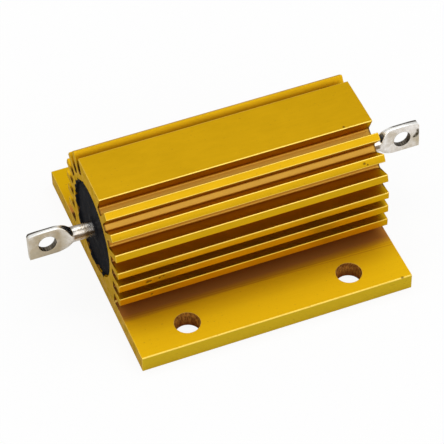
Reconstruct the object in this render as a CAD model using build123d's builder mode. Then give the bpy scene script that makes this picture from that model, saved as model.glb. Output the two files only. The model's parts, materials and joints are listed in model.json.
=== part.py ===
"""Aluminium housed wirewound power resistor, in millimetres.

The origin is the centre of the foot's underside. X runs along the extrusion, from the left terminal to the
right one, Y runs across the foot and Z is up.
"""

import os
from math import cos, radians, sin, sqrt

from build123d import *

# Foot of the extrusion
body_length = 48.2
base_width = 46.0
base_thickness = 3.2
foot_edge_round = 0.2

# Four clearance holes through the foot
hole_spacing_x = 29.0
hole_edge_distance = 4.5
hole_radius = 2.2

# Round body with its bore
bore_radius = 8.2
bore_wall = 1.45
floor_thickness = 3.3
top_thickness = 3.5
bore_chamfer = 0.25

# Fins: four radial ones a side, with level ones below them
fin_depth = 3.15
fin_thickness = 1.4
fin_edge_round = 0.15
fin_root_round = 0.35
fin_outline_rise = 0.7
radial_fins_per_side = 4
lowest_fin_angle = 4.8
fin_pitch_angle = 16.1
level_fins_per_side = 2
level_fin_thickness = 1.55
foot_slot_height = 2.15
top_block_gap_angle = 12.8

# Moulded filling of the bore
plug_recess = 0.45
collar_radius = 2.5
collar_height = 0.3
collar_rim = 0.3

# Ceramic core, end caps and winding
element_setback = 7.1
core_radius = 4.5
cap_skirt_length = 3.5
cap_wall = 0.5
wire_radius = 0.5
turn_section_sides = 6
wire_seat = 0.05
winding_cap_overlap = 1.5

# Terminals: round pins with flattened lugs, whose tips stand out from the body's ends by the reach
terminal_reach = 11.2
pin_radius = 1.325
lug_length = 7.0
lug_width = 5.4
lug_thickness = 1.1
lug_shoulder_length = 2.6
lug_ramp_length = 1.0
lug_ramp_overlap = 0.7
lug_edge_round = 0.3
lug_hole_radius = 1.55
lug_hole_setback = 3.2
lug_tilt = 4.0

# Angles that shape the parts
half_turn = 180
quarter_turn = 90

# Places that follow from the sizes above
hole_spacing_y = base_width - 2 * hole_edge_distance
bore_height = floor_thickness + bore_radius
housing_height = bore_height + bore_radius + top_thickness
root_radius = bore_radius + bore_wall
fin_reach = root_radius + fin_depth
fin_outline_height = bore_height + fin_outline_rise
fin_blank_length = fin_reach + fin_outline_rise + fin_thickness
plug_face_x = body_length / 2 - plug_recess
collar_face_x = plug_face_x + collar_height
collar_rim_radius = pin_radius + collar_rim
cap_face_x = body_length / 2 - element_setback
core_shoulder_x = cap_face_x - cap_skirt_length
spigot_end_x = cap_face_x - cap_wall
spigot_radius = core_radius - cap_wall
winding_end_x = core_shoulder_x + winding_cap_overlap
turn_width = 2 * wire_radius
turn_half_height = wire_radius / cos(radians(half_turn / turn_section_sides))
winding_turns = int(2 * winding_end_x / turn_width)
winding_radius = core_radius + wire_seat + turn_half_height
winding_outer_radius = winding_radius + turn_half_height + wire_seat
winding_room_x = winding_end_x + wire_seat
lug_tip_x = body_length / 2 + terminal_reach
lug_inner_x = lug_tip_x - lug_length
lug_shoulder_x = lug_inner_x + lug_shoulder_length
lug_hole_x = lug_tip_x - lug_hole_setback
ramp_end_x = lug_inner_x + lug_ramp_overlap
ramp_start_x = ramp_end_x - lug_ramp_length

# Corners and edges closer than this to a place count as being on it
near = 0.001

bore_axis = Axis((0, 0, bore_height), (1, 0, 0))
bore_centre = (0, bore_height)

# Half sections along the bore: X along the bore, Y as the radius
half_section_plane = Plane(origin=(0, 0, bore_height), x_dir=(1, 0, 0), z_dir=(0, -1, 0))

# The lugs lean back at the top: one plane along their broad faces and one across their edges
lug_normal = (0, -cos(radians(lug_tilt)), sin(radians(lug_tilt)))
lug_upright = (0, sin(radians(lug_tilt)), cos(radians(lug_tilt)))
lug_plane = Plane(origin=(0, 0, bore_height), x_dir=(1, 0, 0), z_dir=lug_normal)
lug_edge_plane = Plane(origin=(0, 0, bore_height), x_dir=(1, 0, 0), z_dir=lug_upright)


def radial_point(radius, angle):
    """Point in the extrusion's section at an angle above the level line through the bore's centre."""
    return radius * cos(radians(angle)), bore_height + radius * sin(radians(angle))


def radial_fin_angles():
    return [lowest_fin_angle + index * fin_pitch_angle for index in range(radial_fins_per_side)]


def level_fin_heights():
    """Middle heights of the level fins, evenly spaced over the slot that stands on the foot."""
    lowest_radial_fin = radial_point(fin_reach, lowest_fin_angle)[1] - fin_thickness / 2
    first = base_thickness + foot_slot_height + level_fin_thickness / 2
    room = lowest_radial_fin - base_thickness - foot_slot_height
    pitch = room / level_fins_per_side
    return [first + index * pitch for index in range(level_fins_per_side)]


def distance_from(height, vertex):
    """Distance of a corner of the section from a point on its middle line."""
    return sqrt(vertex.X**2 + (vertex.Y - height) ** 2)


def is_fin_root(vertex):
    """Corners where a slot's floor meets a fin, the flat-topped block or the foot."""
    on_round_wall = abs(distance_from(bore_height, vertex) - root_radius) < near and vertex.Y > bore_height + near
    on_straight_wall = abs(abs(vertex.X) - root_radius) < near and vertex.Y < bore_height - near
    return (on_round_wall or on_straight_wall) and vertex.Y > base_thickness - near


def is_fin_edge(vertex):
    """Corners at the tips of the fins and of the flat-topped block."""
    on_round_outline = abs(distance_from(fin_outline_height, vertex) - fin_reach) < near
    on_straight_outline = abs(abs(vertex.X) - fin_reach) < near and vertex.Y > base_thickness + near
    on_flat_top = abs(vertex.Y - housing_height) < near
    return on_round_outline or on_straight_outline or on_flat_top


def is_foot_corner(vertex):
    return abs(abs(vertex.X) - base_width / 2) < near


def is_bore_mouth(edge):
    return edge.geom_type == GeomType.CIRCLE and abs(edge.radius - bore_radius) < near


def is_long_lug_edge(edge):
    """Edges of the lug's faces apart from the one inside the pin."""
    return edge.center().X > lug_inner_x + near


# Round outline that the fin tips lie on, straight at the sides and flat on top. Its centre lies a little above
# the bore's, so the radial fins grow longer towards the top.
with BuildSketch() as fin_outline:
    with Locations((0, fin_outline_height)):
        Circle(fin_reach)
    with Locations((0, fin_outline_height / 2)):
        Rectangle(2 * fin_reach, fin_outline_height)
    with Locations((0, housing_height / 2)):
        Rectangle(2 * fin_reach, housing_height, mode=Mode.INTERSECT)

# The extrusion's section, the same along its whole length
block_top = radial_point(root_radius, lowest_fin_angle)[1]
top_block_angle = radial_fin_angles()[-1] + top_block_gap_angle
block_corner = radial_point(2 * fin_reach, top_block_angle)
with BuildSketch() as section:
    # Wall round the bore, standing on a solid block that ends inside the lowest radial fins
    with Locations(bore_centre):
        Circle(root_radius)
    with Locations((0, block_top / 2)):
        Rectangle(2 * root_radius, block_top)
    # Flat-topped block between the two uppermost slots
    with BuildLine():
        Polyline(bore_centre, block_corner, (-block_corner[0], block_corner[1]), close=True)
    make_face()
    for angle in radial_fin_angles():
        for turn in (angle, half_turn - angle):
            with Locations(radial_point(fin_blank_length / 2, turn)):
                Rectangle(fin_blank_length, fin_thickness, rotation=turn)
    for height in level_fin_heights():
        with Locations((0, height)):
            Rectangle(2 * fin_reach, level_fin_thickness)
    add(fin_outline.sketch, mode=Mode.INTERSECT)
    with Locations((0, base_thickness / 2)):
        Rectangle(base_width, base_thickness)
    with Locations(bore_centre):
        Circle(bore_radius, mode=Mode.SUBTRACT)
    fillet(section.vertices().filter_by(is_fin_root), fin_root_round)
    fillet(section.vertices().filter_by(is_fin_edge), fin_edge_round)
    fillet(section.vertices().filter_by(is_foot_corner), foot_edge_round)

with BuildPart() as housing:
    with BuildSketch(Plane.YZ):
        add(section.sketch)
    extrude(amount=body_length / 2, both=True)
    with Locations((0, 0, base_thickness)):
        with GridLocations(hole_spacing_x, hole_spacing_y, 2, 2):
            Hole(hole_radius)
    chamfer(housing.edges().filter_by(is_bore_mouth), bore_chamfer)
housing.part.label = "housing"

# The moulding fills all the room in the bore that the resistance element leaves. Its half section is drawn
# from the axis outwards, so heights here are radii.
with BuildPart() as encapsulant:
    with BuildSketch(half_section_plane):
        with BuildLine():
            Polyline(
                (-collar_face_x, pin_radius),
                (-collar_face_x, collar_rim_radius),
                (-plug_face_x, collar_radius),
                (-plug_face_x, bore_radius),
                (plug_face_x, bore_radius),
                (plug_face_x, collar_radius),
                (collar_face_x, collar_rim_radius),
                (collar_face_x, pin_radius),
                (cap_face_x, pin_radius),
                (cap_face_x, core_radius),
                (winding_room_x, core_radius),
                (winding_room_x, winding_outer_radius),
                (-winding_room_x, winding_outer_radius),
                (-winding_room_x, core_radius),
                (-cap_face_x, core_radius),
                (-cap_face_x, pin_radius),
                close=True,
            )
        make_face()
    revolve(axis=bore_axis)
encapsulant.part.label = "encapsulant"

# Ceramic rod, turned down at both ends for the caps
with BuildPart() as core:
    with BuildSketch(half_section_plane):
        with BuildLine():
            Polyline(
                (-spigot_end_x, 0),
                (-spigot_end_x, spigot_radius),
                (-core_shoulder_x, spigot_radius),
                (-core_shoulder_x, core_radius),
                (core_shoulder_x, core_radius),
                (core_shoulder_x, spigot_radius),
                (spigot_end_x, spigot_radius),
                (spigot_end_x, 0),
                close=True,
            )
        make_face()
    revolve(axis=bore_axis)
core.part.label = "core"

# Resistance wire, wound turn against turn over the core and over the inner end of each cap. A turn's round
# section is drawn as the hexagon about it, whose flat sides lie against the next turns and make one solid.
with BuildPart() as winding:
    with BuildSketch(half_section_plane):
        with Locations((0, winding_radius)):
            with GridLocations(turn_width, 0, winding_turns, 1):
                RegularPolygon(
                    wire_radius,
                    side_count=turn_section_sides,
                    major_radius=False,
                    rotation=half_turn / turn_section_sides,
                )
    revolve(axis=bore_axis)
winding.part.label = "winding"

# Drawn cup, pressed on the core's spigot
with BuildPart() as end_cap_right:
    with BuildSketch(half_section_plane):
        with BuildLine():
            Polyline(
                (core_shoulder_x, spigot_radius),
                (core_shoulder_x, core_radius),
                (cap_face_x, core_radius),
                (cap_face_x, 0),
                (spigot_end_x, 0),
                (spigot_end_x, spigot_radius),
                close=True,
            )
        make_face()
    revolve(axis=bore_axis)
end_cap_right.part.label = "end_cap_right"

with BuildPart() as end_cap_left:
    add(mirror(end_cap_right.part, about=Plane.YZ, mode=Mode.PRIVATE))
end_cap_left.part.label = "end_cap_left"

# Round pin of a terminal, pressed down to the lug's thickness at its outer end
with BuildPart() as pin:
    with BuildSketch(Plane.YZ.offset(cap_face_x)):
        with Locations(bore_centre):
            Circle(pin_radius)
    extrude(amount=ramp_end_x - cap_face_x)
    with BuildSketch(lug_edge_plane):
        with BuildLine():
            Polyline(
                (cap_face_x, -pin_radius),
                (ramp_start_x, -pin_radius),
                (ramp_end_x, -lug_thickness / 2),
                (ramp_end_x, lug_thickness / 2),
                (ramp_start_x, pin_radius),
                (cap_face_x, pin_radius),
                close=True,
            )
        make_face()
    extrude(amount=pin_radius, both=True, mode=Mode.INTERSECT)

# The lug narrows to the pin through a quarter of an ellipse on each edge.
with BuildPart() as terminal_right:
    with BuildSketch(lug_plane):
        with BuildLine():
            top_edge = Line((lug_tip_x, lug_width / 2), (lug_shoulder_x, lug_width / 2))
            top_shoulder = EllipticalCenterArc(
                (lug_shoulder_x, pin_radius),
                lug_shoulder_length,
                lug_width / 2 - pin_radius,
                start_angle=quarter_turn,
                arc_size=quarter_turn,
            )
            inner_end = Line((lug_inner_x, pin_radius), (lug_inner_x, -pin_radius))
            bottom_shoulder = EllipticalCenterArc(
                (lug_shoulder_x, -pin_radius),
                lug_shoulder_length,
                lug_width / 2 - pin_radius,
                start_angle=half_turn,
                arc_size=quarter_turn,
            )
            bottom_edge = Line((lug_shoulder_x, -lug_width / 2), (lug_tip_x, -lug_width / 2))
            tip = Line((lug_tip_x, -lug_width / 2), (lug_tip_x, lug_width / 2))
        make_face()
    extrude(amount=lug_thickness / 2, both=True)
    fillet(terminal_right.faces().filter_by(lug_plane).edges().filter_by(is_long_lug_edge), lug_edge_round)
    with Locations(lug_plane):
        with Locations((lug_hole_x, 0)):
            Hole(lug_hole_radius)
    add(pin.part)
terminal_right.part.label = "terminal_right"

with BuildPart() as terminal_left:
    add(mirror(terminal_right.part, about=Plane.YZ, mode=Mode.PRIVATE))
terminal_left.part.label = "terminal_left"

os.makedirs("parts", exist_ok=True)
export_step(housing.part, "parts/housing.step")
export_step(encapsulant.part, "parts/encapsulant.step")
export_step(core.part, "parts/core.step")
export_step(winding.part, "parts/winding.step")
export_step(end_cap_left.part, "parts/end_cap_left.step")
export_step(end_cap_right.part, "parts/end_cap_right.step")
export_step(terminal_left.part, "parts/terminal_left.step")
export_step(terminal_right.part, "parts/terminal_right.step")
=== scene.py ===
"""The dressed model of an aluminium housed power resistor, on a plain pale floor. Lengths are in metres.

X runs along the extrusion, Y across its foot and Z up, with the origin under the middle of the foot.
"""

import json
from math import atan2, cos, hypot, pi, radians, sin

import bpy
from mathutils import Matrix, Vector, noise

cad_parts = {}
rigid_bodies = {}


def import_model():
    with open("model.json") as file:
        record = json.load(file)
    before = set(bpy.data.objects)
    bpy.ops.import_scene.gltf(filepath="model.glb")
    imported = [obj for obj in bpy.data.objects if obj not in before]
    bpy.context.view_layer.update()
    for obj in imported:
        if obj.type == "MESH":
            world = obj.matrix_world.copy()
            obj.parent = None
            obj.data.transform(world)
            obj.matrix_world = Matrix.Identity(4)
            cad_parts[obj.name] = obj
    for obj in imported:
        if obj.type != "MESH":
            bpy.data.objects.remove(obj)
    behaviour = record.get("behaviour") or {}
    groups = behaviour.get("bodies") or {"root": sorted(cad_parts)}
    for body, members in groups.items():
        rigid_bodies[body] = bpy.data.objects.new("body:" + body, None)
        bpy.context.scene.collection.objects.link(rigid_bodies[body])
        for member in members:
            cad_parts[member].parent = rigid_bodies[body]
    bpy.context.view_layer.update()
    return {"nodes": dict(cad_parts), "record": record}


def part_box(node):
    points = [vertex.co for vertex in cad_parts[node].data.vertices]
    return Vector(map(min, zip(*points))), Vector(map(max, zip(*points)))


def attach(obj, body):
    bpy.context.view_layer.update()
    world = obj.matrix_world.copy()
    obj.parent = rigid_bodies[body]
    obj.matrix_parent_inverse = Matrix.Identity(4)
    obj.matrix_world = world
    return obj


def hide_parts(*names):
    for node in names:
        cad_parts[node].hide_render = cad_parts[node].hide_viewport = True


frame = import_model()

MM = 0.001

# The photograph's camera, found from the foot's corners, the holes and the fins
CAMERA_AZIMUTH = -20.604
CAMERA_ELEVATION = 47.057
CAMERA_ROLL = -1.278
CAMERA_DISTANCE = 406.14 * MM
CAMERA_TARGET = Vector((-1.047 * MM, 0, 3.632 * MM))
CAMERA_NEAREST = 10 * MM
LENS = 192.73
SENSOR_WIDTH = 36

# The room: how bright its walls are, how wide the floor is and how far the camera sees it as plain white
ROOM_BRIGHTNESS = 0.62
FLOOR_WIDTH = 3.0
FLOOR_WHITENESS = 0.9

# Sizes and places that the pieces and finishes follow, from the frame
HALF_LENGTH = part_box("housing")[1].x
HOUSING_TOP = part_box("housing")[1].z
FOOT_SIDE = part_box("housing")[1].y
PLUG_LOW, PLUG_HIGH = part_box("encapsulant")
BORE_RADIUS = (PLUG_HIGH.z - PLUG_LOW.z) / 2
BORE_HEIGHT = (PLUG_HIGH.z + PLUG_LOW.z) / 2
TERMINAL_LOW, TERMINAL_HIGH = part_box("terminal_right")
PIN_RADIUS = TERMINAL_HIGH.y
MOUNTS = {mount["name"]: mount for mount in frame["record"]["mounts"]}
HOLE_DIMS = MOUNTS["foot_holes"]["dims"]
HOLE_X = HOLE_DIMS["spacing_x_mm"] / 2 * MM
HOLE_Y = HOLE_DIMS["spacing_y_mm"] / 2 * MM
HOLE_RADIUS = HOLE_DIMS["hole_r_mm"] * MM
FOOT_TOP = MOUNTS["foot_holes"]["pos_m"][2]
LUG_HOLE_X = MOUNTS["lug_hole_right"]["pos_m"][0]
LUG_HOLE_RADIUS = MOUNTS["lug_hole_right"]["dims"]["r_mm"] * MM
LUG_THICKNESS = MOUNTS["lug_hole_right"]["dims"]["length_mm"] * MM
LUG_NORMAL = Vector(MOUNTS["lug_hole_right"]["axis"])
LUG_TILT = atan2(LUG_NORMAL.z, -LUG_NORMAL.y)
LUG_HALF_WIDTH = 2.7 * MM

# The round outline that the fin tips lie on, whose centre is a little above the bore's
FIN_TIP_RADIUS = 12.8 * MM
FIN_OUTLINE_RISE = 0.7 * MM
FIN_OUTLINE_HEIGHT = BORE_HEIGHT + FIN_OUTLINE_RISE

# The foot's upper face falls away very slightly outside a faint crease, which two scratches cross
FOOT_CREASE = 14.6 * MM
FOOT_FALL = 0.09
FALL_RUN = 10 * MM
SCRATCH_SLOPE = 0.032
SCRATCH_GAP = 0.45 * MM

# Sawn and drilled edges are broken by hand, and the long upper corners, where they stand out, are painted
# pale as wear and as a highlight
EDGE_BREAK = 0.09 * MM
EDGE_STRIP = 0.2 * MM
OUTER_BAND = 0.4 * MM
CORNER_BAND = 0.5 * MM
TOP_BAND = 0.6 * MM
UPPER_CORNER = cos(radians(12))
KNOCKED_WEAR = 0.45

# Small dents and specks on the gold, as place and radius in millimetres
HOUSING_MARKS = [
    ((19.12, -4.66, 23.2), 0.28),
    ((-19.05, -12.8, 9.28), 0.42),
    ((-18.55, -12.8, 9.3), 0.3),
    ((-16.99, -12.8, 9.39), 0.3),
    ((-16.3, -12.8, 9.6), 0.22),
    ((-18.47, -12.8, 6.05), 0.25),
    ((20.38, -10.54, 19.46), 0.3),
    ((20.9, -10.7, 19.2), 0.2),
    ((22.36, -22.86, 3.19), 0.3),
]

# The slanted direction, across and up, along which the painted reflection bands on the round pins are
# measured
REFLECTION_ACROSS, REFLECTION_UP = 0.73, 0.68

# Nicks in the lugs, in the same way
LUG_MARKS = [
    ((34.7, -0.54, 11.5), 0.55),
    ((35.1, -0.5, 12.0), 0.6),
    ((34.3, -0.5, 11.3), 0.3),
    ((35.0, -0.4, 12.6), 0.35),
    ((-30.7, -0.5, 11.3), 0.25),
]

# The moulding's face, as rings from the bore inwards in millimetres, and the swell of its surface
PLUG_FACETS = 160
PLUG_RINGS = (0.12, 0.15, 0.25, 0.5, 0.9, 1.1, 1.2, 1.0, 0.48, 0.35, 0.3, 0.3)
PLUG_RECESS = 0.3 * MM
SWELL_HEIGHT = 0.04 * MM
SWELLS_PER_METRE = 450
SWELL_SHIFT = 5 * MM

# The ragged brim where it meets the bore, with small teeth of flash, more of them on one side
BRIM_WIDTH = 0.2 * MM
BRIM_DIP = 0.08 * MM
FLASH_HEIGHT = 0.03 * MM
FLASH_REACH = 0.55 * MM
FLASH_ANGLE = radians(-20)
FLASH_LEAN = 0.28
BRIM_SHARE = 0.4
RAGGED_SHARE, RAGGED_LOBES, RAGGED_SHIFT = 0.7, 3.2, 7.0
TOOTH_SHARE, TOOTH_LOBES, TOOTH_SHIFT, TOOTH_START = 1.1, 9.0, 3.0, 20.0

# The collar of moulding round each pin
COLLAR_FOOT = 2.5 * MM
COLLAR_RUN = 0.8 * MM
COLLAR_HEIGHT = 0.25 * MM

# Where the round pin starts to go over into the flat lug, and where it is at its widest and thinnest
PIN_FACETS = 64
PRESS_START = 27.6 * MM
PRESS_FLAT = 29.9 * MM
SHOULDER = 27.9 * MM
SPREAD_START = 27.9 * MM
SPREAD_END = 30.8 * MM
SPREAD_POWER = 2.2
LUG_SQUARENESS = 5
LUG_EDGE_ROUND = 0.07 * MM
LUG_STATION = 0.2 * MM

# The lug's upper edge drops a little towards the tip and has a rounded corner there, cut more finely
DROP_START = 32.0 * MM
TIP_DROP = 0.25 * MM
TIP_CORNER = 0.45 * MM
TIP_RUN = 0.6 * MM
TIP_STATION = 0.08 * MM
TIP_REST = 0.03 * MM

# The punch for the lug's hole
PUNCH_FACETS = 48
PUNCH_LENGTH = 4 * MM

# Corners closer than this to a place count as being on it. Joints flatter than the first two angles are one
# face, or one smooth surface, and joints sharper than the last have their corners rounded
NEAR = 0.002 * MM
FLAT_ANGLE = radians(0.2)
SMOOTH_ANGLE = radians(35)
SHARP_ANGLE = radians(50)


def rgb(red, green, blue):
    return (red, green, blue, 1.0)


# Colours of the housing
PALE_GOLD = rgb(0.72, 0.415, 0.009)
DEEP_GOLD = rgb(0.53, 0.3, 0.005)
# Painted light on the open part of the foot
LIT_FOOT_GOLD = rgb(0.73, 0.455, 0.007)
# Pale wear with a painted highlight on the upper corners
WORN_AND_HIGHLIT_GOLD = rgb(0.95, 0.7, 0.15)
GRAZING_GOLD = rgb(0.8, 0.58, 0.1)
# Painted shade in the slots, at the foot's roots and at the slots' mouths
SLOT_SHADE_BROWN = rgb(0.38, 0.18, 0.1)
ROOT_SHADE_BROWN = rgb(0.48, 0.2, 0.04)
MOUTH_SHADE_BROWN = rgb(0.09, 0.036, 0.012)
SIDE_OLIVE = rgb(0.62, 0.46, 0.03)
SCRATCH_BROWN = rgb(0.45, 0.18, 0.01)
SAWN_OLIVE = rgb(0.52, 0.34, 0.03)
SAWN_PALE = rgb(0.68, 0.47, 0.13)
STREAK_BROWN = rgb(0.5, 0.26, 0.03)
TORN_BROWN = rgb(0.26, 0.08, 0.02)
TORN_COPPER = rgb(0.8, 0.45, 0.1)
LOW_WALL_BROWN = rgb(0.28, 0.08, 0.02)
MARK_BROWN = rgb(0.12, 0.05, 0.01)
SPECK_BROWN = rgb(0.3, 0.15, 0.02)

# Colours of the moulding
MOULDING_BLACK = rgb(0.006, 0.007, 0.009)
MOULDING_GREY = rgb(0.012, 0.012, 0.014)
FLASH_GREY = rgb(0.1, 0.095, 0.085)

# Colours of the tinned terminals
DULL_TIN = rgb(0.66, 0.6, 0.52)
BRIGHT_TIN = rgb(0.92, 0.89, 0.85)
WARM_TIN = rgb(0.46, 0.38, 0.24)
# A painted highlight on the sheared upper edge
SHEARED_EDGE_HIGHLIGHT = rgb(0.95, 0.94, 0.9)
# A painted dark reflection on the lugs
DARK_REFLECTION_BROWN = rgb(0.06, 0.045, 0.025)
# Painted dark reflection bands on the round pins
PIN_REFLECTION_BROWN = rgb(0.16, 0.09, 0.03)
PUNCHED_BLACK = rgb(0.02, 0.017, 0.012)
PUNCHED_GREY = rgb(0.2, 0.17, 0.13)
NICK_BROWN = rgb(0.06, 0.045, 0.02)

# Colours of the hidden pieces, each as its darker and its lighter tone, and of the room
CERAMIC = rgb(0.75, 0.73, 0.69), rgb(0.85, 0.83, 0.79)
WIRE = rgb(0.4, 0.36, 0.31), rgb(0.5, 0.46, 0.4)
CAP = rgb(0.55, 0.54, 0.51), rgb(0.65, 0.64, 0.61)
PAPER = rgb(0.85, 0.85, 0.85)
WHITE = rgb(1, 1, 1)


class Signal:
    """A number, colour or vector on its way between a finish's nodes. Sums are written as on numbers."""

    def __init__(self, finish, socket):
        self.finish = finish
        self.socket = socket

    def math(self, operation, first, second=0.0):
        return self.finish.math(operation, first, second)

    def __add__(self, other):
        return self.math("ADD", self, other)

    def __sub__(self, other):
        return self.math("SUBTRACT", self, other)

    def __rsub__(self, other):
        return self.math("SUBTRACT", other, self)

    def __mul__(self, other):
        return self.math("MULTIPLY", self, other)

    def __abs__(self):
        return self.math("ABSOLUTE", self)

    def __pow__(self, power):
        return self.math("POWER", self, power)

    __radd__ = __add__
    __rmul__ = __mul__


class Finish:
    """A material that is made up node by node."""

    def __init__(self, name):
        self.material = bpy.data.materials.new(name)
        self.material.use_nodes = True
        self.tree = self.material.node_tree
        self.tree.nodes.clear()

    def add(self, kind, settings=None, sockets=None, output=0):
        """Adds a node, with its settings and then its sockets' values or links, and gives an output."""
        node = self.tree.nodes.new(kind)
        for name, value in (settings or {}).items():
            setattr(node, name, value)
        for name, value in (sockets or {}).items():
            if isinstance(value, Signal):
                self.tree.links.new(value.socket, node.inputs[name])
            else:
                node.inputs[name].default_value = value
        return Signal(self, node.outputs[output]) if node.outputs else None

    def math(self, operation, first, second=0.0):
        return self.add("ShaderNodeMath", {"operation": operation}, {0: first, 1: second})

    def larger(self, first, second):
        return self.math("MAXIMUM", first, second)

    def place(self):
        """Where a point of the surface is on the part."""
        return self.add("ShaderNodeTexCoord", output="Object")

    def axes(self, vector):
        split = {"Vector": vector}
        return [self.add("ShaderNodeSeparateXYZ", None, split, axis) for axis in "XYZ"]

    def stretched(self, vector, scale):
        return self.add("ShaderNodeMapping", None, {"Vector": vector, "Scale": scale})

    def grain(self, vector, scale, detail=2.0, roughness=0.5):
        """Cloudy noise from 0 to 1, with about scale blobs to the metre."""
        sockets = {"Vector": vector, "Scale": scale, "Detail": detail, "Roughness": roughness}
        return self.add("ShaderNodeTexNoise", None, sockets, "Fac")

    def step(self, value, start, end):
        """0 where value is under start, 1 where it is over end, and a straight slope between."""
        sockets = {"Value": value, "From Min": start, "From Max": end}
        return self.add("ShaderNodeMapRange", {"clamp": True}, sockets)

    def mix(self, share, first, second):
        """The first colour, going over to the second by share."""
        settings = {"data_type": "RGBA"}
        return self.add("ShaderNodeMix", settings, {0: share, 6: first, 7: second}, 2)

    def bump(self, height, distance, strength=1.0, normal=None):
        sockets = {"Height": height, "Distance": distance, "Strength": strength}
        if normal:
            sockets["Normal"] = normal
        return self.add("ShaderNodeBump", None, sockets)

    def surface(self, **sockets):
        """The shader of a solid surface. Its sockets are named as on the shader, with _ for a space."""
        named = {name.replace("_", " "): value for name, value in sockets.items()}
        shader = self.add("ShaderNodeBsdfPrincipled", None, named)
        self.add("ShaderNodeOutputMaterial", None, {"Surface": shader})
        return self.material


def off_axis(across, up):
    """How far a point is off an axis, from its offsets across and up."""
    return (across ** 2 + up ** 2) ** 0.5


def near_marks(finish, x, y, z, marks):
    """1 at the middle of each small mark, given as its place and radius, and 0 outside all of them."""
    total = 0.0
    for (mark_x, mark_y, mark_z), radius in marks:
        offset = (x - mark_x * MM) ** 2 + (y - mark_y * MM) ** 2 + (z - mark_z * MM) ** 2
        total = finish.step(offset, (radius * MM) ** 2, 0.0) + total
    return total


def dyed_gold(finish, place, y, foot):
    """The etched and dyed skin, cloudy all over, with painted light making it brighter and more yellow on
    the open part of the foot.
    """
    clouds = finish.grain(place, 160, 3.0)
    mottle = finish.grain(finish.stretched(place, (350, 1400, 1400)), 1.0, 4.0, 0.65)
    skin = finish.mix(clouds * 0.5 + mottle * 0.5, PALE_GOLD, DEEP_GOLD)
    # Painted light: the open part of the foot, out of the fins' shade, is brighter and more yellow
    lit_foot = finish.step(abs(y), FOOT_CREASE - 0.4 * MM, FOOT_CREASE + 4.2 * MM) * foot
    return finish.mix(lit_foot, skin, LIT_FOOT_GOLD)


def shaded_slots(finish, colour, x, y, z, foot):
    """Painted shade: darker, redder colour down in the slots and at the foot's roots, darkest at the slots'
    mouths.
    """
    depth = FIN_TIP_RADIUS - off_axis(y, finish.larger(z - BORE_HEIGHT, 0.0))
    lower = finish.step(z, BORE_HEIGHT + 3 * MM, BORE_HEIGHT)
    under_top = finish.step(z, HOUSING_TOP - 0.1 * MM, HOUSING_TOP - 0.4 * MM)
    from_bore = off_axis(y, z - BORE_HEIGHT)
    off_bore = finish.step(from_bore, BORE_RADIUS + 0.5 * MM, BORE_RADIUS + 0.9 * MM)
    slot = finish.step(depth, 1.3 * MM, 3.6 * MM) * (lower * 0.4 + 0.5) * under_top * off_bore
    # Painted shade down in the slots, more in the lower ones
    colour = finish.mix(slot, colour, SLOT_SHADE_BROWN)
    # Painted shade on the foot along the body, under the fins
    root = finish.step(abs(y), FOOT_CREASE + 0.2 * MM, FOOT_CREASE - 1.4 * MM) * foot
    colour = finish.mix(root, colour, ROOT_SHADE_BROWN)

    # On the far left the painted shade reaches further in, and covers the foot under the fins too
    far_left = finish.step(y, 0.0, 2 * MM) * finish.step(x, 0.0, -2 * MM)
    in_slot = finish.step(depth, 0.9 * MM, 2.0 * MM) * under_top
    under_fins = finish.step(depth, 0.3 * MM, 0.8 * MM) * foot * far_left
    from_end = HALF_LENGTH - abs(x) - far_left * (1.4 * MM)
    mouth_shade = finish.step(from_end, 0.4 * MM, 0.1 * MM) * finish.larger(in_slot, under_fins)
    return finish.mix(mouth_shade * 0.9, colour, MOUTH_SHADE_BROWN)


def handled_foot(finish, colour, x, y, foot):
    """Olive sides on the foot and two fine scratches that cross its crease."""
    side = finish.step(abs(y), FOOT_SIDE - 0.25 * MM, FOOT_SIDE - 0.05 * MM)
    colour = finish.mix(side * 0.9, colour, SIDE_OLIVE)
    from_scratch = y + FOOT_CREASE + x * SCRATCH_SLOPE
    broad = finish.step(abs(from_scratch), 0.13 * MM, 0.03 * MM)
    fine = finish.step(abs(from_scratch - SCRATCH_GAP), 0.1 * MM, 0.02 * MM)
    return finish.mix(finish.larger(broad, fine) * foot * 0.5, colour, SCRATCH_BROWN)


def sawn_metal(finish, place):
    """Sawn ends, olive where the oxide is thin, with a few brown streaks along the arcs of the blade."""
    arcs = finish.grain(finish.stretched(place, (1, 900, 7000)), 1.0, 3.0, 0.65)
    patches = finish.grain(place, 700, 4.0, 0.6)
    metal = finish.mix(finish.step(patches, 0.38, 0.62), SAWN_OLIVE, SAWN_PALE)
    streaks = finish.step(arcs * 0.6 + patches * 0.4, 0.5, 0.62)
    return finish.mix(streaks * 0.6, metal, STREAK_BROWN), arcs


def drilled_metal(finish, place, z):
    """Drilled walls, torn by the drill and browner low down."""
    tears = finish.grain(finish.stretched(place, (3400, 3400, 1300)), 1.0, 4.0, 0.7)
    metal = finish.mix(finish.step(tears, 0.35, 0.65), TORN_BROWN, TORN_COPPER)
    low = finish.step(z, 1.9 * MM, 0.5 * MM)
    return finish.mix(low * 0.75, metal, LOW_WALL_BROWN), tears


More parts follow.
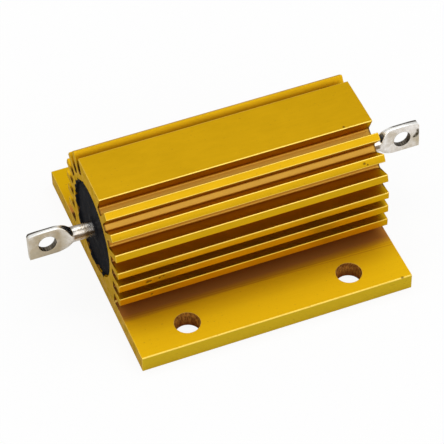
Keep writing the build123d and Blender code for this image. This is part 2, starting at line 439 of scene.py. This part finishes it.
def gold_anodise():
    """Etched and dyed aluminium, with fine lines along the extrusion and rougher sawn ends and holes."""
    finish = Finish("gold anodise")
    place = finish.place()
    x, y, z = finish.axes(place)
    lines = finish.grain(finish.stretched(place, (25, 5000, 5000)), 1.0, 3.0, 0.6)
    foot = finish.step(z, FOOT_TOP + 0.6 * MM, FOOT_TOP)
    colour = dyed_gold(finish, place, y, foot)
    colour = shaded_slots(finish, colour, x, y, z, foot)
    colour = handled_foot(finish, colour, x, y, foot)

    # Bare cuts through the skin
    sawn = finish.step(abs(x), HALF_LENGTH - 0.03 * MM, HALF_LENGTH - 0.01 * MM)
    cut_metal, arcs = sawn_metal(finish, place)
    colour = finish.mix(sawn, colour, cut_metal)
    from_hole = off_axis(abs(x) - HOLE_X, abs(y) - HOLE_Y)
    drilled = finish.step(from_hole, HOLE_RADIUS + 0.06 * MM, HOLE_RADIUS + 0.03 * MM)
    torn_metal, tears = drilled_metal(finish, place, z)
    colour = finish.mix(drilled, colour, torn_metal)

    # Edges paler, partly from wear and partly as a painted highlight, most on the upper fins and the foot,
    # and small dark marks
    wear_and_highlight = finish.add("ShaderNodeAttribute", {"attribute_name": "wear_and_highlight"}, None, "Fac")
    patchy = finish.step(finish.grain(finish.stretched(place, (0.3, 1, 1)), 900, 3.0), 0.0, 0.45)
    upper = finish.step(z, BORE_HEIGHT - 7 * MM, BORE_HEIGHT + 5 * MM) * 0.7 + 0.2
    colour = finish.mix(wear_and_highlight * patchy * finish.larger(upper, foot * 0.85), colour, WORN_AND_HIGHLIT_GOLD)
    marks = near_marks(finish, x, y, z, HOUSING_MARKS)
    colour = finish.mix(marks * 0.8, colour, MARK_BROWN)
    specks = finish.step(finish.grain(finish.stretched(place, (1, 2, 2)), 1700, 1.0), 0.71, 0.76)
    colour = finish.mix(specks * 0.35, colour, SPECK_BROWN)

    fall = finish.step(abs(y), FOOT_CREASE, FOOT_CREASE + FALL_RUN) * foot * (-FALL_RUN * FOOT_FALL)
    relief = lines * 0.005 + sawn * arcs * 0.03 + drilled * tears * 0.08 - marks * 0.08
    return finish.surface(
        Base_Color=colour,
        Metallic=1.0,
        Specular_Tint=GRAZING_GOLD,
        Roughness=0.35 + lines * 0.1 + foot * 0.22 + sawn * 0.12 + drilled * 0.1 - wear_and_highlight * 0.1,
        Normal=finish.bump(relief, MM, 1.0, finish.bump(fall, 1.0)),
    )


def black_moulding():
    """Mineral filled moulding compound, nearly matt, with flow marks and pale specks round the pins."""
    finish = Finish("black moulding")
    place = finish.place()
    _, y, z = finish.axes(place)
    pits = finish.grain(place, 2500, 3.0)
    flow = finish.grain(place, 500, 2.0)
    colour = finish.mix(pits, MOULDING_BLACK, MOULDING_GREY)
    near_pin = finish.step(off_axis(y, z - BORE_HEIGHT), 3.4 * MM, 1.4 * MM)
    specks = finish.step(finish.grain(place, 3200, 2.0), 0.58, 0.66) * near_pin
    return finish.surface(
        Base_Color=finish.mix(specks * 0.6, colour, FLASH_GREY),
        Roughness=0.34 + flow * 0.2,
        IOR=1.03,
        Normal=finish.bump(pits * 0.03 + flow * 0.12, MM, 0.8),
    )


def sheared_edge(finish, colour, x, upright, out, streaks):
    """A painted highlight on the sheared upper edge, and a painted dark reflection in a line behind it and
    at the left shoulder.
    """
    narrower = finish.step(abs(x), SPREAD_END, SPREAD_START) ** SPREAD_POWER
    drop = finish.step(abs(x), DROP_START, TERMINAL_HIGH.x) ** 2 * TIP_DROP
    from_edge = LUG_HALF_WIDTH - narrower * (LUG_HALF_WIDTH - PIN_RADIUS) - drop - upright
    # Painted highlight along the sheared upper edge
    colour = finish.mix(finish.step(from_edge, 0.22 * MM, 0.1 * MM), colour, SHEARED_EDGE_HIGHLIGHT)
    # Painted dark reflection in a line behind the upper edge and at the left shoulder
    behind = finish.step(out, 0.0, 0.16 * MM) * finish.step(from_edge, 0.6 * MM, 0.45 * MM)
    from_shoulder = abs(abs(x) - SHOULDER)
    shoulder = finish.step(from_shoulder, 0.8 * MM, 0.3 * MM) * finish.step(from_edge, 0.7 * MM, 0.4 * MM)
    left_shoulder = shoulder * finish.step(x, 1 * MM, 0.0) * 0.5
    dark_reflection = finish.larger(behind * finish.step(abs(x), PRESS_FLAT, SPREAD_END), left_shoulder)
    return finish.mix(dark_reflection * finish.step(streaks, 0.15, 0.35) * 0.95, colour, DARK_REFLECTION_BROWN)


def painted_pin_reflection(finish, colour, x, y, rise, streaks):
    """Painted dark reflection on the round pin, in a band along its under side and along its back."""
    round_part = finish.step(abs(x), SHOULDER, SHOULDER - 0.4 * MM)
    height = y * REFLECTION_ACROSS + rise * REFLECTION_UP
    band = finish.step(abs(height + PIN_RADIUS * 0.42), PIN_RADIUS * 0.3, PIN_RADIUS * 0.18)
    back = finish.step(height, PIN_RADIUS * 0.75, PIN_RADIUS * 0.95)
    reflection_bands = finish.larger(band, back) * round_part
    return finish.mix(reflection_bands * finish.step(streaks, 0.2, 0.4) * 0.9, colour, PIN_REFLECTION_BROWN)


def tinned():
    """Hot tinned copper, mottled warm grey, with a painted highlight and painted dark reflections on the
    lugs and pins, and dark in the punched hole.
    """
    finish = Finish("hot tinned copper")
    place = finish.place()
    x, y, z = finish.axes(place)
    rise = z - BORE_HEIGHT
    upright = rise * cos(LUG_TILT) + y * sin(LUG_TILT)
    out = y * cos(LUG_TILT) - rise * sin(LUG_TILT)
    mottle = finish.grain(place, 1300, 4.0, 0.6)
    wash = finish.grain(place, 330, 2.0)
    streaks = finish.grain(finish.stretched(place, (150, 2500, 2500)), 1.0, 3.0)
    flat_part = finish.step(abs(x), PRESS_START, PRESS_FLAT)

    colour = finish.mix(finish.step(mottle, 0.3, 0.7), DULL_TIN, BRIGHT_TIN)
    leftward = finish.step(x, 10 * MM, -10 * MM)
    warmer = finish.step(wash + leftward * 0.22, 0.45, 0.72) * flat_part
    colour = finish.mix(warmer * 0.8, colour, WARM_TIN)
    colour = sheared_edge(finish, colour, x, upright, out, streaks)
    colour = painted_pin_reflection(finish, colour, x, y, rise, streaks)

    # The hole's wall: inside the punch's radius round its slanted axis
    from_axis = off_axis(abs(x) - LUG_HOLE_X, upright)
    punched = finish.step(from_axis, LUG_HOLE_RADIUS + 0.04 * MM, LUG_HOLE_RADIUS + 0.02 * MM)
    scored = finish.grain(finish.stretched(place, (4000, 300, 4000)), 1.0, 3.0)
    wall = finish.mix(finish.step(scored, 0.35, 0.65), PUNCHED_BLACK, PUNCHED_GREY)
    colour = finish.mix(punched * 0.95, colour, wall)
    marks = near_marks(finish, x, y, z, LUG_MARKS)
    colour = finish.mix(marks * 0.9, colour, NICK_BROWN)

    relief = mottle * 0.05 + punched * scored * 0.1 + wash * 0.08 - marks * 0.1
    return finish.surface(
        Base_Color=colour,
        Metallic=1.0,
        Roughness=0.16 + mottle * 0.16 + flat_part * 0.08 + punched * 0.2,
        Normal=finish.bump(relief, MM, 0.6),
    )


def plain_finish(name, tones, scale, roughness, metallic):
    """A hidden piece's finish, with grain between its darker and its lighter tone."""
    finish = Finish(name)
    grain = finish.grain(finish.place(), scale, 3.0)
    colour = finish.mix(grain, *tones)
    return finish.surface(Base_Color=colour, Metallic=metallic, Roughness=roughness + grain * 0.1)


def pick(piece):
    """Makes a piece the only one that the operators work on."""
    bpy.ops.object.select_all(action="DESELECT")
    piece.select_set(True)
    bpy.context.view_layer.objects.active = piece


def choose(piece, kind, wanted):
    """Selects, in edit mode, only the edges or faces that the test wants."""
    bpy.ops.mesh.select_all(action="DESELECT")
    bpy.ops.mesh.select_mode(type=kind)
    bpy.ops.object.mode_set(mode="OBJECT")
    mesh = piece.data
    elements = {"EDGE": mesh.edges, "FACE": mesh.polygons}[kind]
    for element in elements:
        element.select = wanted(mesh, element)
    bpy.ops.object.mode_set(mode="EDIT")


def finish_piece(piece, name, material, slot, *nodes):
    """Names, smooths and dresses a piece and puts it in the place of its CAD nodes."""
    piece.name = name
    piece.data.name = name
    pick(piece)
    bpy.ops.object.transform_apply(location=True, rotation=True, scale=True)
    bpy.ops.object.shade_smooth_by_angle(angle=SMOOTH_ANGLE)
    level = piece.modifiers.new("level faces", "WEIGHTED_NORMAL")
    level.keep_sharp = True
    bpy.ops.object.modifier_apply(modifier=level.name)
    piece.data.materials.clear()
    piece.data.materials.append(material)
    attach(piece, "root")
    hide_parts(*nodes)


def round_bar(facets, radius, start, end):
    """A plain round bar along the bore's axis."""
    bpy.ops.object.select_all(action="DESELECT")
    middle = ((start + end) / 2, 0, BORE_HEIGHT)
    bpy.ops.mesh.primitive_cylinder_add(
        vertices=facets, radius=radius, depth=end - start, location=middle, rotation=(0, pi / 2, 0)
    )
    bpy.ops.object.transform_apply(location=True, rotation=True, scale=True)
    return bpy.context.object


def near_foot_hole(place):
    """Distance from the axis of the nearest hole in the foot."""
    return hypot(abs(place.x) - HOLE_X, abs(place.y) - HOLE_Y)


def is_broken_edge(mesh, edge):
    """Sawn and drilled edges, which were knocked off."""
    both = [mesh.vertices[index].co for index in edge.vertices]
    sawn = any(all(abs(place.x - end) < NEAR for place in both) for end in (-HALF_LENGTH, HALF_LENGTH))
    drilled = all(abs(near_foot_hole(place) - HOLE_RADIUS) < NEAR for place in both)
    level = abs(both[0].z - both[1].z) < NEAR
    return sawn or (drilled and level)


def is_knocked_edge(face):
    """Edges round the ends and the foot holes. Down in the slots the saw and the drill left them sharp."""
    normal, centre = face.normal, face.center
    if near_foot_hole(centre) < HOLE_RADIUS + EDGE_BREAK:
        return 0.05 < abs(normal.z) < 0.95
    outside = hypot(centre.y, centre.z - FIN_OUTLINE_HEIGHT) > FIN_TIP_RADIUS - OUTER_BAND
    return 0.1 < abs(normal.x) < 0.98 and (outside or centre.z > HOUSING_TOP - OUTER_BAND)


def is_strip(mesh, face):
    """Long narrow faces, of which the rounded corners along the extrusion are made up."""
    corners = [mesh.vertices[index].co for index in face.vertices]
    length = max(corner.x for corner in corners) - min(corner.x for corner in corners)
    return length > HALF_LENGTH and face.area < length * EDGE_STRIP


def is_upper_corner(mesh, face):
    """The rounded upper corners of the fins, the top and the foot, which face up and get a painted
    highlight as well as wear.
    """
    normal, centre = face.normal, face.center
    if normal.z < 0.25 or normal.y * centre.y < 0 or abs(normal.y) < 0.2 or not is_strip(mesh, face):
        return False
    if centre.z > HOUSING_TOP - TOP_BAND or abs(centre.y) > FOOT_CREASE:
        return True
    out = Vector((centre.y, centre.z - FIN_OUTLINE_HEIGHT))
    return out.length > FIN_TIP_RADIUS - CORNER_BAND and out.normalized().dot(normal.yz) < UPPER_CORNER


def extruded_housing():
    """The housing with its sawn and drilled edges broken, and each face marked by how much wear and painted
    highlight it gets.
    """
    pick(frame["nodes"]["housing"])
    piece = frame["nodes"]["housing"].copy()
    piece.data = piece.data.copy()
    piece.parent = None
    for key in list(piece.keys()):
        del piece[key]
    bpy.context.scene.collection.objects.link(piece)
    pick(piece)
    bpy.ops.mesh.customdata_custom_splitnormals_clear()
    bpy.ops.object.mode_set(mode="EDIT")
    bpy.ops.mesh.select_all(action="SELECT")
    bpy.ops.mesh.remove_doubles(threshold=NEAR)
    bpy.ops.mesh.dissolve_limited(angle_limit=FLAT_ANGLE)
    choose(piece, "EDGE", is_broken_edge)
    bpy.ops.mesh.bevel(offset=EDGE_BREAK, segments=2, clamp_overlap=False)
    bpy.ops.object.mode_set(mode="OBJECT")
    low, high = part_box("housing")
    for vertex in piece.data.vertices:
        vertex.co = [min(max(value, least), most) for value, least, most in zip(vertex.co, low, high)]
    bpy.ops.object.mode_set(mode="EDIT")
    choose(piece, "FACE", is_upper_corner)
    bpy.ops.mesh.select_more()
    bpy.ops.object.mode_set(mode="OBJECT")
    wear_and_highlight = piece.data.attributes.new("wear_and_highlight", "FLOAT", "FACE")
    # Faces beside the upper corners get full wear and painted highlight, the knocked edges only some wear
    for face in piece.data.polygons:
        beside = face.select and is_strip(piece.data, face)
        wear_and_highlight.data[face.index].value = 1.0 if beside else KNOCKED_WEAR * is_knocked_edge(face)
    return piece


def eased(value, start, end):
    """0 before start, 1 after end, and a smooth rise between."""
    share = min(max((value - start) / (end - start), 0.0), 1.0)
    return share * share * (3 - 2 * share)


def uneven(angle, lobes, shift):
    """Smooth noise that closes on itself round the bore."""
    return noise.noise(Vector((lobes * cos(angle), lobes * sin(angle), shift)))


def brim_reach(angle, side):
    """How far the moulding creeps out at an angle round the bore: 0 not at all, 1 a tooth of flash."""
    ragged = uneven(angle, RAGGED_LOBES, side * RAGGED_SHIFT)
    teeth = uneven(angle, TOOTH_LOBES, side * TOOTH_SHIFT + TOOTH_START)
    lean = FLASH_LEAN * cos(angle - FLASH_ANGLE)
    return min(max(BRIM_SHARE + lean + RAGGED_SHARE * ragged + TOOTH_SHARE * teeth, 0.0), 1.0)


def moulded_filling():
    """The black moulding, level but for a low collar round each pin and a ragged brim at the bore."""
    face_x = HALF_LENGTH - PLUG_RECESS
    piece = round_bar(PLUG_FACETS, BORE_RADIUS, -face_x, face_x)
    bpy.ops.object.mode_set(mode="EDIT")
    for side in (-1, 1):
        choose(piece, "FACE", lambda mesh, face: face.normal.x * side > 0.9)
        for width in PLUG_RINGS:
            bpy.ops.mesh.inset(thickness=width * MM)
        bpy.ops.mesh.poke()
    bpy.ops.object.mode_set(mode="OBJECT")
    for vertex in piece.data.vertices:
        across = Vector((vertex.co.y, vertex.co.z - BORE_HEIGHT))
        side = 1 if vertex.co.x > 0 else -1
        radius = across.length
        swell = noise.noise(Vector((across.x, across.y, side * SWELL_SHIFT)) * SWELLS_PER_METRE)
        collar = max(0.0, min(1.0, (COLLAR_FOOT - radius) / COLLAR_RUN))
        rise = swell * SWELL_HEIGHT + collar * COLLAR_HEIGHT
        if radius > BORE_RADIUS - BRIM_WIDTH:
            creep = brim_reach(atan2(across.y, across.x), side)
            rise = eased(creep, 0.1, 0.55) * (PLUG_RECESS + FLASH_HEIGHT + BRIM_DIP) - BRIM_DIP
            if radius > BORE_RADIUS - NEAR:
                stretch = (BORE_RADIUS + eased(creep, 0.45, 1.0) * FLASH_REACH) / radius
                vertex.co.y = across.x * stretch
                vertex.co.z = BORE_HEIGHT + across.y * stretch
        vertex.co.x += side * rise
    return piece


def upper_drop(x):
    """How far the lug's upper edge lies under its full width at a place along the lug."""
    tip = TERMINAL_HIGH.x
    drop = TIP_DROP * max((x - DROP_START) / (tip - DROP_START), 0.0) ** 2
    into_corner = max(TIP_CORNER - (tip - x), 0.0)
    return drop + TIP_CORNER - (TIP_CORNER ** 2 - into_corner ** 2) ** 0.5


def pressed_place(place):
    """Where a point of the round blank goes when its end is pressed to a lug."""
    pressed = eased(place.x, PRESS_START, PRESS_FLAT)
    narrower = min(max((SPREAD_END - place.x) / (SPREAD_END - SPREAD_START), 0.0), 1.0) ** SPREAD_POWER
    angle = atan2(place.z - BORE_HEIGHT, place.y)
    squareness = 2 / (2 + LUG_SQUARENESS * pressed)
    half_width = PIN_RADIUS + (LUG_HALF_WIDTH - PIN_RADIUS) * (1 - narrower)
    half_thickness = PIN_RADIUS + (LUG_THICKNESS / 2 - PIN_RADIUS) * pressed
    across, upright = cos(angle), sin(angle)
    out = half_thickness * abs(across) ** squareness * (1 if across > 0 else -1)
    rise = half_width * abs(upright) ** squareness * (1 if upright > 0 else -1)
    rise = min(rise, half_width - upper_drop(place.x))
    turn = LUG_TILT * pressed
    leaning_out = out * cos(turn) + rise * sin(turn)
    leaning_rise = rise * cos(turn) - out * sin(turn)
    return Vector((place.x, leaning_out, BORE_HEIGHT + leaning_rise))


def forged_terminal():
    """The right terminal: a round pin whose outer end is pressed flat, cropped and punched."""
    tip = TERMINAL_HIGH.x
    piece = round_bar(PIN_FACETS, PIN_RADIUS, TERMINAL_LOW.x, tip)
    bpy.ops.object.mode_set(mode="EDIT")
    station = PRESS_START
    while station < tip - TIP_REST:
        bpy.ops.mesh.select_all(action="SELECT")
        bpy.ops.mesh.bisect(plane_co=(station, 0, 0), plane_no=(1, 0, 0))
        station += LUG_STATION if station < tip - TIP_RUN else TIP_STATION
    bpy.ops.object.mode_set(mode="OBJECT")
    for vertex in piece.data.vertices:
        if vertex.co.x > PRESS_START:
            vertex.co = pressed_place(vertex.co)
    punch_hole(piece)
    return piece


def punch_hole(piece):
    """Punches the lug's hole square to its faces and rounds the lug's sharp corners."""
    bpy.ops.object.select_all(action="DESELECT")
    middle = (LUG_HOLE_X, 0, BORE_HEIGHT)
    turn = Vector((0, 0, 1)).rotation_difference(LUG_NORMAL).to_euler()
    bpy.ops.mesh.primitive_cylinder_add(
        vertices=PUNCH_FACETS, radius=LUG_HOLE_RADIUS, depth=PUNCH_LENGTH, location=middle, rotation=turn
    )
    punch = bpy.context.object
    pick(piece)
    hole = piece.modifiers.new("punched hole", "BOOLEAN")
    hole.operation = "DIFFERENCE"
    hole.solver = "EXACT"
    hole.object = punch
    bpy.ops.object.modifier_apply(modifier=hole.name)
    bpy.data.objects.remove(punch)
    corner = piece.modifiers.new("worn corners", "BEVEL")
    corner.width = LUG_EDGE_ROUND
    corner.segments = 2
    corner.limit_method = "ANGLE"
    corner.angle_limit = SHARP_ANGLE
    bpy.ops.object.modifier_apply(modifier=corner.name)


def mirrored(piece):
    """A copy of a piece for the other end."""
    twin = piece.copy()
    twin.data = piece.data.copy()
    bpy.context.scene.collection.objects.link(twin)
    twin.data.transform(Matrix.Scale(-1, 4, (1, 0, 0)))
    pick(twin)
    bpy.ops.object.mode_set(mode="EDIT")
    bpy.ops.mesh.select_all(action="SELECT")
    bpy.ops.mesh.normals_make_consistent(inside=False)
    bpy.ops.object.mode_set(mode="OBJECT")
    return twin


def dress(node, material):
    """Gives a CAD node its finish."""
    for slot in frame["nodes"][node].material_slots:
        slot.material = material


def white_floor():
    """Pale paper. The camera sees it as white, with the part's soft shadow."""
    bpy.ops.mesh.primitive_plane_add(size=FLOOR_WIDTH, location=(0, 0, 0))
    floor = bpy.context.object
    floor.name = "floor"
    finish = Finish("white paper")
    paper = finish.add("ShaderNodeBsdfDiffuse", None, {"Color": PAPER})
    glow = finish.add("ShaderNodeEmission", None, {"Color": WHITE, "Strength": 1.0})
    seen = finish.add("ShaderNodeLightPath", output="Is Camera Ray")
    both = finish.add("ShaderNodeMixShader", None, {0: seen * FLOOR_WHITENESS, 1: paper, 2: glow})
    finish.add("ShaderNodeOutputMaterial", None, {"Surface": both})
    floor.data.materials.append(finish.material)


def white_room():
    world = bpy.data.worlds.new("white room")
    bpy.context.scene.world = world
    world.use_nodes = True
    background = world.node_tree.nodes["Background"]
    background.inputs["Color"].default_value = WHITE
    background.inputs["Strength"].default_value = ROOM_BRIGHTNESS


def direction(azimuth, elevation):
    """From the part towards the viewer. At azimuth 0 the view is along +Y."""
    turn, tilt = radians(azimuth), radians(elevation)
    return Vector((sin(turn) * cos(tilt), -cos(turn) * cos(tilt), sin(tilt)))


def softbox(name, azimuth, elevation, distance, width, height, brightness):
    """A wide soft lamp that faces the part, as bright as that many times white paper in full light."""
    light = bpy.data.lights.new(name, "AREA")
    light.shape = "RECTANGLE"
    light.size = width
    light.size_y = height
    light.energy = brightness * pi * width * height
    lamp = bpy.data.objects.new(name, light)
    bpy.context.scene.collection.objects.link(lamp)
    back = direction(azimuth, elevation)
    lamp.location = back * distance
    lamp.rotation_euler = back.to_track_quat("Z", "Y").to_euler()


def photograph_camera():
    data = bpy.data.cameras.new("camera")
    data.lens = LENS
    data.sensor_width = SENSOR_WIDTH
    data.clip_start = CAMERA_NEAREST
    camera = bpy.data.objects.new("camera", data)
    bpy.context.scene.collection.objects.link(camera)
    back = direction(CAMERA_AZIMUTH, CAMERA_ELEVATION)
    turn = radians(CAMERA_AZIMUTH)
    level = Vector((cos(turn), sin(turn), 0))
    upright = back.cross(level)
    roll = radians(CAMERA_ROLL)
    right = cos(roll) * level + sin(roll) * upright
    up = cos(roll) * upright - sin(roll) * level
    facing = Matrix((right, up, back)).transposed().to_4x4()
    camera.matrix_world = Matrix.Translation(CAMERA_TARGET + back * CAMERA_DISTANCE) @ facing
    bpy.context.scene.camera = camera


photograph_camera()
white_room()
white_floor()
softbox("key softbox", azimuth=14, elevation=43, distance=1.0, width=1.6, height=0.83, brightness=1.0)
softbox("overhead softbox", azimuth=166, elevation=71, distance=1.0, width=1.6, height=0.5, brightness=1.7)

gold = gold_anodise()
dress("housing", gold)
finish_piece(extruded_housing(), "extruded_housing", gold, "gold_anodised_aluminium", "housing")
black = black_moulding()
dress("encapsulant", black)
finish_piece(moulded_filling(), "moulded_filling", black, "black_moulding", "encapsulant")
tin = tinned()
dress("terminal_left", tin)
dress("terminal_right", tin)
right_terminal = forged_terminal()
left_terminal = mirrored(right_terminal)
finish_piece(right_terminal, "forged_terminal_right", tin, "tinned_terminal", "terminal_right")
finish_piece(left_terminal, "forged_terminal_left", tin, "tinned_terminal", "terminal_left")
dress("core", plain_finish("white ceramic", CERAMIC, scale=1500, roughness=0.55, metallic=0.0))
dress("winding", plain_finish("resistance wire", WIRE, scale=3000, roughness=0.3, metallic=1.0))
cap_metal = plain_finish("drawn cap metal", CAP, scale=2500, roughness=0.3, metallic=1.0)
dress("end_cap_left", cap_metal)
dress("end_cap_right", cap_metal)

bpy.context.scene.view_settings.view_transform = "Standard"
bpy.context.view_layer.update()
